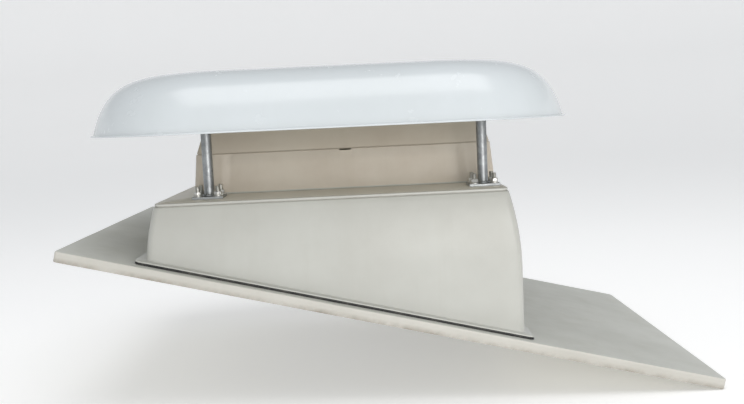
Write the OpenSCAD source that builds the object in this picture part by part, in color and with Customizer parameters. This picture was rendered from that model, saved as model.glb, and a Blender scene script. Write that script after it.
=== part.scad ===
// Low-profile roof ventilation cowl on a pitched flashing sheet.
// A glass-fibre upstand carries a flat deck. A throat collar on the deck lets the air out under
// a square domed cap, which stands on four galvanised stanchions. A pair of gravity flaps in the
// throat keeps back-draughts out, and a wire screen on top of the throat keeps birds out.
// +X runs down the roof and +Z is plumb. The origin is where the upstand's vertical centre line
// meets the plane of the flashing sheet's underside.

/* [Flashing sheet] */
// Pitch of the roof, in degrees
roof_pitch = 13.8; // [8:0.1:15]
// Plan distance from the centre line to the up-slope edge
sheet_up = 676; // [620:1:900]
// Plan distance from the centre line to the down-slope edge
sheet_down = 960; // [620:1:1200]
// Width of the sheet across the slope
sheet_w = 1036; // [1036:2:1400]
// Thickness of the sheet
sheet_t = 5; // [3:0.5:8]
// Depth of the lip turned down round the sheet
lip_h = 22; // [10:1:40]
// Width of the square opening through the sheet
duct_w = 860; // [800:2:870]

/* [Upstand and deck] */
// Width of the square deck
deck_w = 890; // [888:2:900]
// Height of the deck's top face over the origin
deck_z = 266; // [250:1:320]
// How far each side of the upstand flares out
flare = 27; // [10:1:32]
// Height over which the sides flare
flare_h = 200; // [150:5:220]
// Wall of the glass-fibre mouldings
wall = 6; // [5:0.5:7]
// Radius of the upstand's vertical corners
corner_r = 20; // [16:1:45]
// Width of the flange bonded to the sheet
flange_w = 18; // [14:1:32]

/* [Throat collar] */
// Width of the collar at its foot, along the slope
throat_x = 824; // [800:2:826]
// Depth of the collar at its foot, across the slope
throat_y = 480; // [470:1:500]
// How far the collar stands down the slope from the upstand's centre
throat_shift = 31; // [0:1:32]
// Height of the whole collar
throat_h = 200; // [196:1:220]
// Height of the crease where the collar begins to draw in
crease_h = 108; // [60:1:120]
// Radius of the collar's vertical corners at the foot
throat_r = 20; // [12:1:40]

/* [Cap] */
// Width of the square cap over its rim
cap_w = 1220; // [1180:2:1260]
// Height of the rim over the deck
cap_gap = 172; // [150:1:180]
// Height of the crown over the rim
cap_h = 165; // [155:1:190]
// Radius of the rim's corners in plan
cap_r = 280; // [240:5:320]
// Width of the lip round the rim
rim_w = 7; // [4:1:16]

/* [Stanchions] */
// Distance of each post from the middle of the four, along the slope
post_x = 359; // [345:1:362]
// How far the four posts stand down the slope from the upstand's centre
post_shift = 37; // [0:1:38]
// Distance of each post from the centre, across the slope
post_y = 330; // [310:1:340]
// Outside diameter of the post tube
post_d = 26.9; // [21.3:0.1:33.7]
// Width of the square foot and head plates
plate_w = 80; // [78:1:84]
// Thickness of the plates
plate_t = 6; // [5:0.5:8]
// Spacing of the bolts in each plate
bolt_pitch = 52; // [48:1:54]

/* [Back-draught flaps] */
// Angle to which each flap opens against the stop rod
flap_open = 72; // [50:1:74]
// Diameter of the spindle that both flaps turn on
spindle_d = 10; // [8:1:12]
// Play between the spindle and a knuckle, on the radius
running_fit = 0.05; // [0.02:0.01:0.1]

/* [Bird screen] */
// Spacing of the screen's wires
mesh_pitch = 25; // [20:1:40]
// Diameter of the wires
wire_d = 3; // [2:0.5:4]

/* [Hidden] */
$fn = 48;

gelcoat_white = [0.90, 0.92, 0.93];
gelcoat_grey = [0.76, 0.74, 0.71];
sheet_grey = [0.62, 0.64, 0.62];
raw_laminate = [0.66, 0.64, 0.55];
galvanised = [0.60, 0.62, 0.64];
zinc = [0.74, 0.74, 0.71];
aluminium = [0.80, 0.81, 0.82];
rubber = [0.08, 0.08, 0.08];
nylon = [0.90, 0.89, 0.84];

over = 1;                       // extra length of a cutting tool
far = 2000;                     // reach of a tool that cuts a whole side away
corner_steps = 6;               // facets in a corner of a box moulding
cap_steps = 11;                 // facets in a corner of the cap

// Half width of the upstand at its foot, and the wall's inner face where the foot is highest
foot = deck_w / 2 + flare;
flange_in = deck_w / 2 + flare_at(foot * tan(roof_pitch)) - wall;

// Layers over the roof plane, square to it
seal_t = 6;
flange_t = 3;
flange_r = 12;
flange_n = sheet_t + seal_t;

// Deck, its seal and the top of the upstand
deck_seal_t = 2;
deck_low = deck_z - wall;
deck_bevel = [1.5, 2];
upstand_top = deck_low - deck_seal_t;
land_w = 28;
land_in = [deck_w / 2 - land_w, post_y - plate_w / 2 - 12];
land_r = corner_r - wall;
backing_top = upstand_top - wall;
edge_r = 3;
spigot_h = 30;
spigot_t = 4;
spigot_gap = [24, 3.5];

// Half sizes of the collar at its foot, its crease and its top
throat_wall = 5;
lean_low = 9;
lean_top = 29;
throat_foot = [throat_x, throat_y] / 2;
throat_crease = throat_foot - [lean_low, lean_low];
throat_top = throat_crease - [lean_top, lean_top];
throat_in = throat_foot - [throat_wall, throat_wall];
throat_flange_w = 25;
throat_in_r = throat_r - throat_wall;
opening_r = 8;
mesh_opening = throat_top - [throat_flange_w, throat_flange_w];
slot_w = 32;
slot_h = 4;
spigot_out = throat_in - spigot_gap;
spigot_in = spigot_out - [spigot_t, spigot_t];
spigot_r = 36;

// Stanchion, its plates and their fasteners
rim_z = deck_z + cap_gap;
head_z = rim_z + 115;
post_t = 2.6;
weld = 5;
vent_d = 10;
foot_bolt_d = 12;
foot_hole_d = 13;
foot_nut_w = 18;
foot_nut_h = 10;
foot_head_h = 7.5;
head_bolt_d = 10;
head_hole_d = 11;
head_nut_w = 16;
head_head_h = 6.4;
head_bolt_grip = 18;
washer_t = 2.5;
thread_end = 14;
thread_play = 0.2;
bond_gap = 0.5;
pad_w = 96;
rib_w = 60;
rib_h = 22;

// Cap section, as [inset from the rim, height over the rim]
rim_t = 5;
shoulder = [238, cap_h - 11];
side_lean = [30, 0.83 * shoulder.y];
shoulder_lead = [-139, -1.5];
crown_inset = 473;
crown_r = 60;
crown_lead = [80, 1];
corner_taper = 0.6;
side_curve = [[rim_w, rim_t], [rim_w, 0] + side_lean, shoulder + shoulder_lead, shoulder];
crown_curve = [shoulder, shoulder + crown_lead, [crown_inset - crown_lead.x, cap_h],
    [crown_inset, cap_h]];
side_steps = 8;
crown_steps = 4;

// Damper, measured from the spindle's axis
spindle_z = deck_z - 25;
band_t = 3;
band_gap = 1;
band_out = spigot_in - [band_gap, band_gap];
band_in = band_out - [band_t, band_t];
band_mid = (band_out + band_in) / 2;
band_r = spigot_r - spigot_t - band_gap;
band_low = deck_z - 60;
seat_w = 10;
seat_in = band_in - [seat_w, seat_w];
seat_r = band_r - band_t - seat_w;
seat_t = 3;
seat_seal_t = 3;
blade_t = 2;
rest_gap = 0.3;
seal_top = spindle_z - blade_t / 2 - rest_gap;
seat_top = seal_top - seat_seal_t;
blade_gap = [4.5, 4];
blade_out = band_in - blade_gap;
blade_r = band_r - band_t - blade_gap.y;
blade_root = 10;
blade_fold = 10;
knuckle_d = 16;
knuckle_l = 60;
knuckle_pitch = 190;
knuckle_shift = 38;
bush_l = 10;
stop_d = 16;
stop_wall = 2;
stop_z = spindle_z + (stop_d / 2 + blade_t / 2 + 0.5) / cos(flap_open);
centre_bar_w = 30;
centre_bar_gap = 3;
centre_bar_top = spindle_z - knuckle_d / 2 - centre_bar_gap;
rivet_d = 5;
rivet_head_d = 9.5;
rivet_head_h = 2.5;
rivet_z = deck_z + 18;
rivet_pitch = 200;

// Bird screen
mesh_frame_t = 3;
mesh_z = deck_z + throat_h;
frame_inset = 1.5;
mesh_frame_out = throat_top - [frame_inset, frame_inset];
mesh_half = mesh_opening + [4, 4];
screen_screw_d = 5;
screen_head_d = 9.5;
screw_half = mesh_opening + [17, 17];
screw_end = 60;
wire_gap = 0.3;

// Outline of a rectangle with rounded corners, anticlockwise, from its half sizes
function rounded_outline(half, r, steps) = [
    for (corner = [0:3], i = [0:steps])
        let (a = 90 * (corner + i / steps))
        let (side = [corner == 0 || corner == 3 ? 1 : -1, corner < 2 ? 1 : -1])
        [side.x * (half.x - r) + r * cos(a), side.y * (half.y - r) + r * sin(a)]];

// How far the upstand's sides stand outside the deck's edge at a height
function flare_at(z) =
    let (drop = min(1, max(0, (deck_z - z) / flare_h)))
    flare * (1 - pow(1 - drop, 2));

function bezier(p, t) =
    pow(1 - t, 3) * p[0] + 3 * t * pow(1 - t, 2) * p[1] + 3 * t * t * (1 - t) * p[2] + pow(t, 3) * p[3];

function bezier_slope(p, t) =
    3 * pow(1 - t, 2) * (p[1] - p[0]) + 6 * t * (1 - t) * (p[2] - p[1]) + 3 * t * t * (p[3] - p[2]);

// Point of a section curve, pushed into the moulding by a depth
function inside_curve(p, t, depth) =
    let (s = bezier_slope(p, t))
    bezier(p, t) + depth * [s.y, -s.x] / norm(s);

// Cap section from the rim to the crown, at a depth below the outer face
function cap_section(depth) = concat(
    [for (i = [0:side_steps]) inside_curve(side_curve, i / side_steps, depth)],
    [for (i = [1:crown_steps]) inside_curve(crown_curve, i / crown_steps, depth)]);

// Level of the cap for a point of its section: [half sizes, corner radius, height]
function cap_level(p) =
    let (half = cap_w / 2 - p.x)
    [[half, half], max(crown_r, cap_r - corner_taper * p.x), rim_z + p.y];

// Skin through a stack of levels, each [half sizes, corner radius, height].
// A ring joins the last level to the first; otherwise both ends are closed flat.
module loft(levels, steps, ring = false) {
    n = 4 * (steps + 1);
    last = len(levels) - 1;
    points = [for (level = levels)
        for (p = rounded_outline(level[0], level[1], steps)) [p.x, p.y, level[2]]];
    sides = [for (k = [0:ring ? last : last - 1], i = [0:n - 1])
        let (low = k * n, high = ((k + 1) % (last + 1)) * n, j = (i + 1) % n)
        each [[low + i, high + i, high + j], [low + i, high + j, low + j]]];
    ends = [[for (i = [0:n - 1]) i], [for (i = [n - 1:-1:0]) last * n + i]];
    polyhedron(points, ring ? sides : concat(ends, sides), convexity = 6);
}

module rounded_plate(half, r, t) {
    linear_extrude(t) polygon(rounded_outline(half, r, corner_steps));
}

// Flat ring between two rounded outlines
module rounded_ring(half, r, inner, inner_r, t) {
    difference() {
        rounded_plate(half, r, t);
        translate([0, 0, -over]) rounded_plate(inner, inner_r, t + 2 * over);
    }
}

// Slab that follows the roof, between two distances square to its plane
module roof_slab(low, high) {
    rotate([0, roof_pitch, 0])
        translate([-far, -far, low]) cube([2 * far, 2 * far, high - low]);
}

module at_posts() {
    for (x = [-post_x, post_x], y = [-post_y, post_y])
        translate([post_shift + x, y, 0]) children();
}

// Everything in and on the throat is laid out from the throat's own centre line
module on_throat() {
    translate([throat_shift, 0, 0]) children();
}

module at_plate_holes() {
    for (x = [-0.5, 0.5], y = [-0.5, 0.5])
        translate([x * bolt_pitch, y * bolt_pitch, 0]) children();
}

module hex_prism(across_flats, h) {
    cylinder(d = across_flats / cos(30), h = h, $fn = 6);
}

module washer(d, hole, t) {
    difference() {
        cylinder(d = d, h = t);
        translate([0, 0, -over]) cylinder(d = hole, h = t + 2 * over);
    }
}

// ---- Flashing sheet and upstand ----

// Plate and lips in the roof's own plane, lying along the slope
module sheet_blank(inset, low, high) {
    up = sheet_up / cos(roof_pitch) - inset;
    down = sheet_down / cos(roof_pitch) - inset;
    half_w = sheet_w / 2 - inset;
    translate([-up, -half_w, low]) cube([up + down, 2 * half_w, high - low]);
}

module flashing_sheet() {
    color(sheet_grey)
        difference() {
            rotate([0, roof_pitch, 0])
                difference() {
                    sheet_blank(0, -lip_h, sheet_t);
                    sheet_blank(sheet_t, -lip_h - over, 0);
                }
            translate([0, 0, -far / 2]) rounded_plate([duct_w, duct_w] / 2, corner_r, far);
        }
}

module sealing_strip() {
    outer = foot + flange_w + 2;
    color(rubber)
        intersection() {
            translate([0, 0, -far / 2])
                rounded_ring([outer, outer], flange_r, [flange_in, flange_in], corner_r, far);
            roof_slab(sheet_t, flange_n);
        }
}

module upstand_shell() {
    flare_low = deck_z - flare_h;
    flare_high = upstand_top - edge_r;
    heights = [-foot, for (i = [0:5]) flare_low + i / 5 * (flare_high - flare_low)];
    bend = [for (a = [30:30:90]) edge_r * [1 - cos(a), sin(a)]];
    function side(z, inset) = deck_w / 2 + flare_at(z) - inset;
    outer = [for (z = heights) [[1, 1] * side(z, 0), corner_r, z]];
    rounded_edge = [for (b = bend)
        [[1, 1] * side(flare_high, b.x), corner_r - b.x, flare_high + b.y]];
    under = backing_top;
    inner = [for (i = [len(heights) - 1:-1:0])
        let (z = min(heights[i], under))
        [[1, 1] * side(z, wall), corner_r - wall, z]];
    color(gelcoat_grey)
        union() {
            intersection() {
                difference() {
                    loft(concat(outer, rounded_edge, [[land_in, land_r, upstand_top],
                        [land_in, land_r, under]], inner), corner_steps, ring = true);
                    translate([0, 0, under - over])
                        at_posts() at_plate_holes() cylinder(d = foot_hole_d, h = wall + 2 * over);
                }
                roof_slab(flange_n, far);
            }
            intersection() {
                translate([0, 0, -far / 2])
                    rounded_ring([1, 1] * (foot + flange_w), flange_r, [flange_in, flange_in],
                        corner_r, far);
                roof_slab(flange_n, flange_n + flange_t);
            }
        }
}

// ---- Deck and throat ----

module deck_seal() {
    half = deck_w / 2 - edge_r;
    color(rubber)
        translate([0, 0, upstand_top])
            difference() {
                rounded_ring([half, half], corner_r - edge_r, land_in, land_r, deck_seal_t);
                translate([0, 0, -over])
                    at_posts() at_plate_holes()
                        cylinder(d = foot_hole_d, h = deck_seal_t + 2 * over);
            }
}

module deck_tray() {
    half = [deck_w, deck_w] / 2;
    color(gelcoat_grey)
        difference() {
            union() {
                translate([0, 0, deck_low]) rounded_plate(half, corner_r, wall - deck_bevel.y);
                translate([0, 0, deck_low])
                    rounded_plate(half - [1, 1] * deck_bevel.x, corner_r - deck_bevel.x, wall);
                on_throat() translate([0, 0, deck_low])
                    rounded_plate(spigot_out, spigot_r, wall + spigot_h);
            }
            on_throat() translate([0, 0, deck_low - over])
                rounded_plate(spigot_in, spigot_r - spigot_t, far);
            translate([0, 0, deck_low - over])
                at_posts() at_plate_holes() cylinder(d = foot_hole_d, h = wall + 2 * over);
            on_throat() at_rivets() translate([0, 0, -band_t - spigot_t - 2 * over])
                cylinder(d = rivet_d + thread_play, h = spigot_t + 2 * over);
        }
}

module throat_collar() {
    crease_z = deck_z + crease_h;
    top_z = deck_z + throat_h;
    function inward(half) = half - [throat_wall, throat_wall];
    hole_z = top_z - throat_wall - over;
    color(gelcoat_grey) on_throat()
        difference() {
            loft([
                [throat_foot, throat_r, deck_z],
                [throat_crease, throat_r, crease_z],
                [throat_top, throat_r, top_z],
                [mesh_opening, opening_r, top_z],
                [mesh_opening, opening_r, top_z - throat_wall],
                [inward(throat_top), throat_in_r, top_z - throat_wall],
                [inward(throat_crease), throat_in_r, crease_z],
                [throat_in, throat_in_r, deck_z]
            ], corner_steps, ring = true);
            translate([post_shift - throat_shift - slot_w / 2, -far / 2, crease_z - slot_h])
                cube([slot_w, far, slot_h]);
            at_screen_screws() translate([0, 0, hole_z])
                cylinder(d = screen_screw_d + thread_play, h = throat_wall + 2 * over);
        }
}

// ---- Stanchions and their fasteners ----

module plate(hole_d) {
    difference() {
        translate([-plate_w / 2, -plate_w / 2, 0]) cube([plate_w, plate_w, plate_t]);
        translate([0, 0, -over]) {
            at_plate_holes() cylinder(d = hole_d, h = plate_t + 2 * over);
            cylinder(d = vent_d, h = plate_t + 2 * over);
        }
    }
}

module stanchion(side_x, side_y) {
    tube_low = deck_z + plate_t;
    tube_high = head_z - plate_t;
    color(galvanised)
        translate([post_shift + side_x * post_x, side_y * post_y, 0]) {
            translate([0, 0, deck_z]) plate(foot_hole_d);
            translate([0, 0, tube_high]) plate(head_hole_d);
            difference() {
                union() {
                    translate([0, 0, tube_low]) cylinder(d = post_d, h = tube_high - tube_low);
                    translate([0, 0, tube_low])
                        cylinder(d1 = post_d + 2 * weld, d2 = post_d, h = weld);
                    translate([0, 0, tube_high - weld])
                        cylinder(d1 = post_d, d2 = post_d + 2 * weld, h = weld);
                }
                translate([0, 0, tube_low - over])
                    cylinder(d = post_d - 2 * post_t, h = tube_high - tube_low + 2 * over);
            }
        }
}

module stanchion_front_left() stanchion(-1, -1);
module stanchion_front_right() stanchion(1, -1);
module stanchion_rear_left() stanchion(-1, 1);
module stanchion_rear_right() stanchion(1, 1);

module backing_plates() {
    color(galvanised)
        at_posts() translate([0, 0, backing_top - plate_t]) plate(foot_hole_d);
}

module foot_bolts() {
    seat = backing_top - plate_t;
    nut_top = deck_z + plate_t + washer_t + foot_nut_h;
    color(zinc)
        at_posts() at_plate_holes() {
            translate([0, 0, seat - foot_head_h]) hex_prism(foot_nut_w, foot_head_h);
            translate([0, 0, seat - foot_head_h])
                cylinder(d = foot_bolt_d, h = nut_top + thread_end - seat + foot_head_h);
        }
}

module foot_washers() {
    color(zinc)
        at_posts() at_plate_holes()
            translate([0, 0, deck_z + plate_t]) washer(2 * foot_bolt_d, foot_hole_d, washer_t);
}

module foot_nuts() {
    color(zinc)
        at_posts() at_plate_holes() translate([0, 0, deck_z + plate_t + washer_t])
            difference() {
                hex_prism(foot_nut_w, foot_nut_h);
                translate([0, 0, -over])
                    cylinder(d = foot_bolt_d + thread_play, h = foot_nut_h + 2 * over);
            }
}

module head_bolts() {
    seat = head_z - plate_t - washer_t;
    color(zinc)
        at_posts() at_plate_holes() {
            translate([0, 0, seat - head_head_h]) hex_prism(head_nut_w, head_head_h);
            translate([0, 0, seat - head_head_h])
                cylinder(d = head_bolt_d, h = head_head_h + washer_t + plate_t + head_bolt_grip);
        }
}

module head_washers() {
    color(zinc)
        at_posts() at_plate_holes() translate([0, 0, head_z - plate_t - washer_t])
            washer(2 * head_bolt_d, head_hole_d, washer_t);
}

// ---- Cap ----

// Space under the cap's inner face, less the bond line
module cap_hollow() {
    loft([for (p = cap_section(wall + bond_gap)) cap_level(p)], cap_steps);
}

module cap_pads() {
    color(raw_laminate)
        difference() {
            intersection() {
                at_posts() translate([-pad_w / 2, -pad_w / 2, head_z])
                    cube([pad_w, pad_w, far]);
                cap_hollow();
            }
            at_posts() at_plate_holes() translate([0, 0, head_z - over])
                cylinder(d = head_bolt_d + thread_play, h = head_bolt_grip + 2 * over);
        }
}

// Rib bonded under the cap between the two pads of one side
module cap_rib(side_y) {
    rib_l = 2 * post_x - pad_w - 2 * bond_gap;
    color(raw_laminate)
        intersection() {
            translate([post_shift - rib_l / 2, side_y * post_y - rib_w / 2,
                    rim_z + shoulder.y - wall - rib_h])
                cube([rib_l, rib_w, far]);
            cap_hollow();
        }
}

module cap_rib_front() cap_rib(-1);
module cap_rib_rear() cap_rib(1);

module cap_shell() {
    outer = cap_section(0);
    inner = cap_section(wall);
    rim = [[inner[0].x, 0], [0, 0], [0, rim_t]];
    section = concat([for (i = [len(inner) - 1:-1:0]) inner[i]], rim, outer);
    color(gelcoat_white)
        loft([for (p = section) cap_level(p)], cap_steps);
}

// ---- Bird screen ----

module at_screen_screws() {
    for (x = [-1:0.5:1], y = [-1, 1])
        translate([x * (screw_half.x - screw_end), y * screw_half.y, 0]) children();
}

module mesh_frame() {
    color(aluminium) on_throat()
        translate([0, 0, mesh_z])
            difference() {
                rounded_ring(mesh_frame_out, throat_r - frame_inset, mesh_opening, opening_r,
                    mesh_frame_t);
                at_screen_screws() translate([0, 0, -over])
                    cylinder(d = screen_screw_d + thread_play, h = mesh_frame_t + 2 * over);
            }
}

module mesh_wire(length) {
    translate([0, 0, -length / 2]) cylinder(d = wire_d, h = length, $fn = 16);
}

// Wires across the slope lie on the frame, and those along it lie on top of them
module mesh_screen() {
    cells = [for (half = [mesh_half.x, mesh_half.y]) round(2 * half / mesh_pitch)];
    low = mesh_z + mesh_frame_t + wire_d / 2;
    color(galvanised) on_throat() {
        for (i = [0:cells[0]])
            translate([mesh_half.x * (2 * i / cells[0] - 1), 0, low])
                rotate([90, 0, 0]) mesh_wire(wire_length(i, cells[0], mesh_half.y));
        for (i = [0:cells[1]])
            translate([0, mesh_half.y * (2 * i / cells[1] - 1), low + wire_d + wire_gap])
                rotate([0, 90, 0]) mesh_wire(wire_length(i, cells[1], mesh_half.x));
    }
}

// The outermost wires stop short of the frame's rounded corners
function wire_length(i, cells, half) = 2 * half + (i == 0 || i == cells ? -wire_d : wire_d);

module mesh_screws() {
    color(zinc) on_throat()
        at_screen_screws() {
            translate([0, 0, mesh_z + mesh_frame_t]) cylinder(d = screen_head_d, h = 3);
            translate([0, 0, mesh_z - throat_wall - 4])
                cylinder(d = screen_screw_d, h = throat_wall + mesh_frame_t + 5);
        }
}

// ---- Damper ----

// Rivet stations on the damper's long sides, with +Z pointing into the duct
module at_rivets() {
    for (i = [-1.5:1.5], side = [-1, 1])
        translate([i * rivet_pitch, side * band_in.y, rivet_z]) rotate([side * 90, 0, 0]) children();
}

// Straight rod or bore along the slope, centred on the duct
module rod(d, length, z) {
    translate([-length / 2, 0, z]) rotate([0, 90, 0]) cylinder(d = d, h = length);
}

module damper_frame() {
    color(aluminium) on_throat()
        difference() {
            union() {
                translate([0, 0, band_low])
                    rounded_ring(band_out, band_r, band_in, band_r - band_t,
                        deck_z + spigot_h - band_low);
                translate([0, 0, deck_z + spigot_h])
                    rounded_ring(spigot_out - [band_gap, band_gap], spigot_r - band_gap, band_in,
                        band_r - band_t, band_t);
                translate([0, 0, seat_top - seat_t])
                    rounded_ring(band_mid, band_r - band_t / 2, seat_in, seat_r, seat_t);
                translate([-band_mid.x, -centre_bar_w / 2, centre_bar_top - seat_t])
                    cube([2 * band_mid.x, centre_bar_w, seat_t]);
            }
            rod(knuckle_d, far, spindle_z);
            rod(stop_d, far, stop_z);
            at_rivets() translate([0, 0, -band_t - over])
                cylinder(d = rivet_d + thread_play, h = band_t + 2 * over);
        }
}

module seat_seal() {
    color(rubber) on_throat()
        difference() {
            translate([0, 0, seat_top])
                rounded_ring(band_in, band_r - band_t, seat_in, seat_r, seat_seal_t);
            rod(knuckle_d, far, spindle_z);
        }
}

module damper_spindle() {
    color(zinc) on_throat() rod(spindle_d, 2 * band_out.x, spindle_z);
}

module spindle_bushes() {
    color(nylon) on_throat()
        difference() {
            rod(knuckle_d, 2 * band_out.x, spindle_z);
            rod(spindle_d + 2 * running_fit, far, spindle_z);
            rod(knuckle_d + 2 * over, 2 * (band_in.x - bush_l), spindle_z);
        }
}

module flap_stop() {
    color(aluminium) on_throat()
        difference() {
            rod(stop_d, 2 * band_out.x, stop_z);
            rod(stop_d - 2 * stop_wall, far, stop_z);
        }
}

module damper_screws() {
    grip = band_t + band_gap + spigot_t;
    color(zinc) on_throat()
        at_rivets() {
            cylinder(d = rivet_head_d, h = rivet_head_h);
            translate([0, 0, -grip]) cylinder(d = rivet_d, h = grip + 1);
        }
}

// Flap lying out along +Y, with its knuckles shifted along the spindle by a distance
module flap(shift) {
    fold_l = 2 * (blade_out.x - blade_r);
    color(aluminium)
        translate([0, 0, spindle_z])
            difference() {
                union() {
                    translate([0, 0, -blade_t / 2]) linear_extrude(blade_t)
                        intersection() {
                            polygon(rounded_outline(blade_out, blade_r, corner_steps));
                            translate([-blade_out.x, blade_root])
                                square([2 * blade_out.x, blade_out.y]);
                        }
                    translate([-fold_l / 2, blade_out.y - blade_t, -blade_t / 2])
                        cube([fold_l, blade_t, blade_fold]);
                    for (x = [-1.5:1.5]) translate([x * knuckle_pitch + shift - knuckle_l / 2, 0, 0]) {
                        rotate([0, 90, 0]) cylinder(d = knuckle_d, h = knuckle_l);
                        translate([0, 0, -blade_t / 2])
                            cube([knuckle_l, blade_root + over, blade_t]);
                    }
                }
                rod(spindle_d + 2 * running_fit, far, 0);
            }
}

module flap_front() on_throat() mirror([0, 1, 0]) flap(-knuckle_shift);
module flap_rear() on_throat() flap(knuckle_shift);

flashing_sheet();
sealing_strip();
upstand_shell();
deck_seal();
deck_tray();
throat_collar();
backing_plates();
stanchion_front_left();
stanchion_front_right();
stanchion_rear_left();
stanchion_rear_right();
foot_bolts();
foot_washers();
foot_nuts();
head_bolts();
head_washers();
cap_pads();
cap_rib_front();
cap_rib_rear();
cap_shell();
mesh_frame();
mesh_screen();
mesh_screws();
damper_frame();
seat_seal();
damper_spindle();
spindle_bushes();
flap_stop();
damper_screws();
flap_front();
flap_rear();
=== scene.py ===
# Visual model of a low-profile roof ventilation cowl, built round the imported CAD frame.
# Metres throughout. +X runs down the roof, +Z is plumb and the front faces -Y.
import math
import random

import bmesh
import bpy
from mathutils import Matrix, Vector, noise


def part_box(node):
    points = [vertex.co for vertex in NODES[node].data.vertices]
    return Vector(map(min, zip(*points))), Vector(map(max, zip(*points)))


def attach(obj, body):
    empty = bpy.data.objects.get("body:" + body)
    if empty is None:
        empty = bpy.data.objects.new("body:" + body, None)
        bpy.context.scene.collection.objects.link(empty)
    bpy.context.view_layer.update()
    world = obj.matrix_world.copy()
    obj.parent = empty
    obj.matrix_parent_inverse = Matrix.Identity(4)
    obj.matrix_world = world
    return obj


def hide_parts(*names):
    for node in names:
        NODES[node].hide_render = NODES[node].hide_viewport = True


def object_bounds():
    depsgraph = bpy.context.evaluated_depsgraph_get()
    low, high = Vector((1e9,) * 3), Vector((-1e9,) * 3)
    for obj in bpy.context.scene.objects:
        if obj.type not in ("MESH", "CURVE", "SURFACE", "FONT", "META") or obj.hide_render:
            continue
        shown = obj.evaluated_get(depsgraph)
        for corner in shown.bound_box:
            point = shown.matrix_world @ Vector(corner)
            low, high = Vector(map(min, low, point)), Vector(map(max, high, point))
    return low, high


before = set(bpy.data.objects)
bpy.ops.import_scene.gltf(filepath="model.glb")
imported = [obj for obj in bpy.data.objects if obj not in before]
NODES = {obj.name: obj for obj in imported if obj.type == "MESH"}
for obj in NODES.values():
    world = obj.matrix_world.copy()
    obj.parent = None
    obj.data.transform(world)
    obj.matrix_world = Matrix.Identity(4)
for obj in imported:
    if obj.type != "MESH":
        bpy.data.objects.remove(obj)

CAD_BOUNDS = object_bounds()
TAU = 2 * math.pi

# Places that the CAD nodes give
CAP_LO, CAP_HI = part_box("cap_shell")
DECK_LO, DECK_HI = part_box("deck_tray")
THROAT_LO, THROAT_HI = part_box("throat_collar")
FLANGE_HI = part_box("upstand_shell")[1]
SHEET_LO, SHEET_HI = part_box("flashing_sheet")
SEAL_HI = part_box("sealing_strip")[1]
PLATE_OUT = abs(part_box("backing_plates")[0].y)

# Dimensions that the boxes do not give, as in the CAD source
PITCH = math.radians(13.8)
SHEET_T = 0.005
LIP_H = 0.022           # depth of the sheet's turned-down lip
DUCT_HALF = 0.430       # half of the square hole in the sheet
SPIGOT_H = 0.030        # the deck's spigot, inside the collar
SPIGOT_R = 0.036
WALL = 0.006            # laminate of the cap and the upstand
CORNER_R = 0.020        # corners of the upstand and the deck
FLARE_H = 0.200         # height over which the upstand flares
FLANGE_N = 0.011        # flange's underside above the roof plane
FLANGE_T = 0.003
FLANGE_W = 0.018
FLANGE_R = 0.012
LAND_W = 0.028          # land under the deck, along the two ends
POST_R = 0.02690 / 2
PLATE_HALF = 0.040      # half of a post's square plate
PLATE_T = 0.006
THROAT_WALL = 0.005
THROAT_R = 0.020        # corners of the collar
OPENING_R = 0.008       # corners of the collar's mouth
CREASE_H = 0.108        # crease above the collar's foot
LEAN_LOW = 0.009        # how far the collar draws in below the crease
LEAN_TOP = 0.029        # and above it
THROAT_LAND = 0.025     # width of the rim turned in at the top
CAP_R = 0.280           # corners of the cap at its rim
CAP_R_MIN = 0.030

# Details that only the visual model has
PANEL_HALF = 0.320      # half length of the collar's recessed panel
PANEL_DEPTH = 0.0035
CREASE_STEP = 0.0008    # how far the band above the crease is set back
GROOVE = 0.0034         # depth of the groove along the crease
TOUCH = 0.0001          # keeps the skins of two pieces apart

# Hexagon fasteners: across flats, head height, shank radius, thread pitch, washer hole radius
M12 = {"flats": 0.018, "head": 0.0075, "radius": 0.006, "pitch": 0.00175}
M10 = {"flats": 0.016, "head": 0.0064, "radius": 0.005, "pitch": 0.0015}
M12_NUT_BORE = 0.0061
M12_HOLE = 0.0065
M10_HOLE = 0.0055

DECK_Z = DECK_HI.z - SPIGOT_H
DECK_HALF = DECK_HI.x
THROAT_C = (THROAT_LO + THROAT_HI) / 2
FOOT_HALF = FLANGE_HI.y - FLANGE_W
FLARE = FOOT_HALF - DECK_HALF


# ---- Mesh helpers ----

def outline(half, r, steps, centre=(0.0, 0.0)):
    """Rounded rectangle, anticlockwise, from its half sizes."""
    points = []
    for corner in range(4):
        sx = 1 if corner in (0, 3) else -1
        sy = 1 if corner < 2 else -1
        for i in range(steps + 1):
            a = math.radians(90 * (corner + i / steps))
            points.append((centre[0] + sx * (half[0] - r) + r * math.cos(a),
                           centre[1] + sy * (half[1] - r) + r * math.sin(a)))
    return points


def split_sides(points, steps, parts):
    """Adds points along the four straight sides of an outline."""
    made = []
    n = len(points)
    for i, p in enumerate(points):
        made.append(p)
        if (i + 1) % (steps + 1) == 0:
            q = points[(i + 1) % n]
            for k in range(1, parts):
                made.append((p[0] + (q[0] - p[0]) * k / parts, p[1] + (q[1] - p[1]) * k / parts))
    return made


def new_object(name, verts, faces, materials, picks=None, *, slot, replaces=(), smooth):
    """A piece that rides on the base; picks gives each face its material."""
    mesh = bpy.data.meshes.new(name)
    mesh.from_pydata([tuple(v) for v in verts], [], faces)
    for m in materials:
        mesh.materials.append(m)
    if picks:
        mesh.polygons.foreach_set("material_index", picks)
    bm = bmesh.new()
    bm.from_mesh(mesh)
    bmesh.ops.remove_doubles(bm, verts=bm.verts, dist=1e-7)
    bmesh.ops.recalc_face_normals(bm, faces=bm.faces)
    bm.to_mesh(mesh)
    bm.free()
    obj = bpy.data.objects.new(name, mesh)
    bpy.context.scene.collection.objects.link(obj)
    shade(mesh, smooth)
    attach(obj, "base")
    if replaces:
        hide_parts(*replaces)
    return obj


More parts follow.
